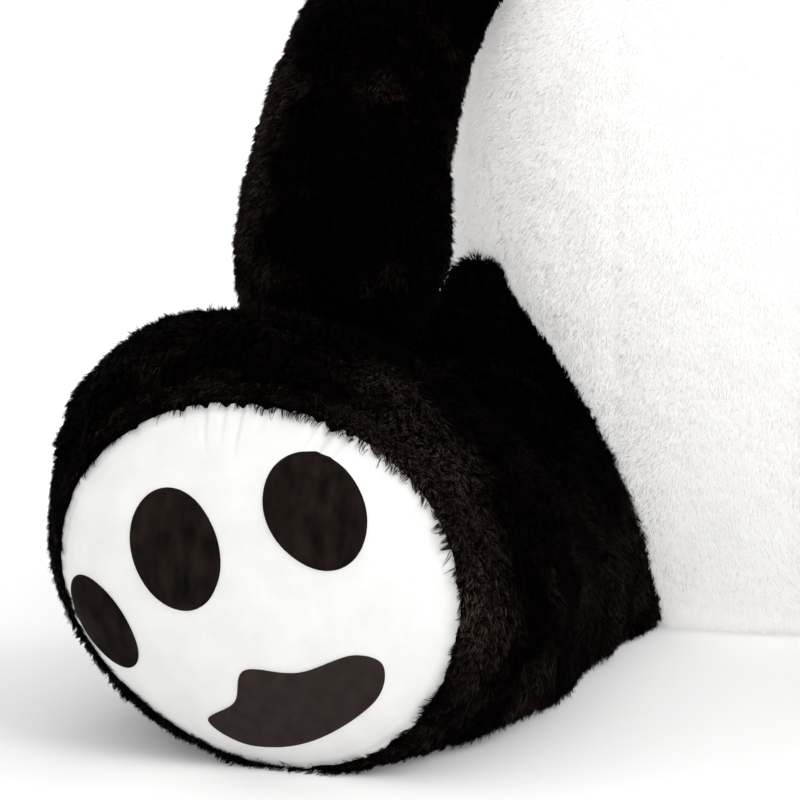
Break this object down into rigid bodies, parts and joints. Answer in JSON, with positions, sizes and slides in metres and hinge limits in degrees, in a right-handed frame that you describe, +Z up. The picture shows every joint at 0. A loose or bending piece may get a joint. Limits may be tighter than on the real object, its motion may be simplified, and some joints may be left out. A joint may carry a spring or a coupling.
{
  "type": "plush panda",
  "caption": "Giant stuffed panda that sits with its legs forward: head, ears, arms, legs and tail on a round body, with padded soles.",
  "frame": {"origin": "on the floor below the middle of the bounding box", "axes": "+Z up, the panda faces -Y, its right side lies towards -X"},
  "size_m": [1.2258, 1.0495, 1.2487],
  "materials": {
    "white_plush": "short soft pile, combed down, with a low sheen",
    "black_plush": "short soft pile, combed down, brown sheen on the tips",
    "sole_fabric": "smooth sheared plush",
    "pad_fabric": "matte sheared plush",
    "stuffing": "loose polyester fibre",
    "black_plastic": "polished moulding",
    "washer_plastic": "plain moulding",
    "embroidery": "satin stitch thread"
  },
  "bodies": {
    "torso": {"torso_filling": "stuffing", "seat_panel": "white_plush", "front_shoulder_yoke": "black_plush", "back_shoulder_yoke": "black_plush", "right_belly_panel": "white_plush", "left_belly_panel": "white_plush", "right_side_panel": "white_plush", "left_side_panel": "white_plush", "right_back_panel": "white_plush", "left_back_panel": "white_plush"},
    "head": {"head_filling": "stuffing", "face_gusset": "white_plush", "right_cheek_panel": "white_plush", "left_cheek_panel": "white_plush", "right_head_back_panel": "white_plush", "left_head_back_panel": "white_plush", "muzzle_panel": "white_plush", "muzzle_filling": "stuffing", "nose": "black_plastic", "nose_washer": "washer_plastic", "mouth_stitch": "embroidery", "right_eye_patch": "black_plush", "left_eye_patch": "black_plush", "right_eye": "black_plastic", "left_eye": "black_plastic", "right_eye_washer": "washer_plastic", "left_eye_washer": "washer_plastic"},
    "right_ear": {"right_ear_front": "black_plush", "right_ear_back": "black_plush", "right_ear_filling": "stuffing"},
    "right_arm": {"right_arm_front_panel": "black_plush", "right_arm_back_panel": "black_plush", "right_arm_filling": "stuffing"},
    "right_leg": {"right_leg_outer_panel": "black_plush", "right_leg_inner_panel": "black_plush", "right_leg_filling": "stuffing", "right_sole": "sole_fabric", "right_outer_toe_pad": "pad_fabric", "right_middle_toe_pad": "pad_fabric", "right_inner_toe_pad": "pad_fabric", "right_main_pad": "pad_fabric"},
    "left_ear": {"left_ear_front": "black_plush", "left_ear_back": "black_plush", "left_ear_filling": "stuffing"},
    "left_arm": {"left_arm_front_panel": "black_plush", "left_arm_back_panel": "black_plush", "left_arm_filling": "stuffing"},
    "left_leg": {"left_leg_outer_panel": "black_plush", "left_leg_inner_panel": "black_plush", "left_leg_filling": "stuffing", "left_sole": "sole_fabric", "left_outer_toe_pad": "pad_fabric", "left_middle_toe_pad": "pad_fabric", "left_inner_toe_pad": "pad_fabric", "left_main_pad": "pad_fabric"},
    "tail": {"tail_skin": "white_plush", "tail_filling": "stuffing"}
  },
  "joints": [
    {"name": "head_turn", "type": "hinge", "parent": "torso", "child": "head", "pos_m": [0, 0.15, 0.75], "axis": [0, 0, 1], "range_deg": [-30, 30]},
    {"name": "right_arm_swing", "type": "hinge", "parent": "torso", "child": "right_arm", "pos_m": [-0.216, 0.168, 0.684], "axis": [-1, 0, 0], "range_deg": [0, 95]},
    {"name": "right_leg_splay", "type": "hinge", "parent": "torso", "child": "right_leg", "pos_m": [-0.29, 0.075, 0.16], "axis": [0, 0, -1], "range_deg": [-3, 10]},
    {"name": "right_ear_fold", "type": "hinge", "parent": "head", "child": "right_ear", "pos_m": [-0.178, 0.162, 1.136], "axis": [0.7431, 0, 0.6691], "range_deg": [-30, 30], "stiffness_Nm_per_rad": 0.8},
    {"name": "left_arm_swing", "type": "hinge", "parent": "torso", "child": "left_arm", "pos_m": [0.216, 0.168, 0.684], "axis": [-1, 0, 0], "range_deg": [0, 95]},
    {"name": "left_leg_splay", "type": "hinge", "parent": "torso", "child": "left_leg", "pos_m": [0.29, 0.075, 0.16], "axis": [0, 0, 1], "range_deg": [-3, 10]},
    {"name": "left_ear_fold", "type": "hinge", "parent": "head", "child": "left_ear", "pos_m": [0.178, 0.162, 1.136], "axis": [0.7431, 0, -0.6691], "range_deg": [-30, 30], "stiffness_Nm_per_rad": 0.8},
    {"name": "tail_wag", "type": "hinge", "parent": "torso", "child": "tail", "pos_m": [0, 0.429, 0.128], "axis": [0, 0, 1], "range_deg": [-14, 14], "stiffness_Nm_per_rad": 0.8}
  ]
}
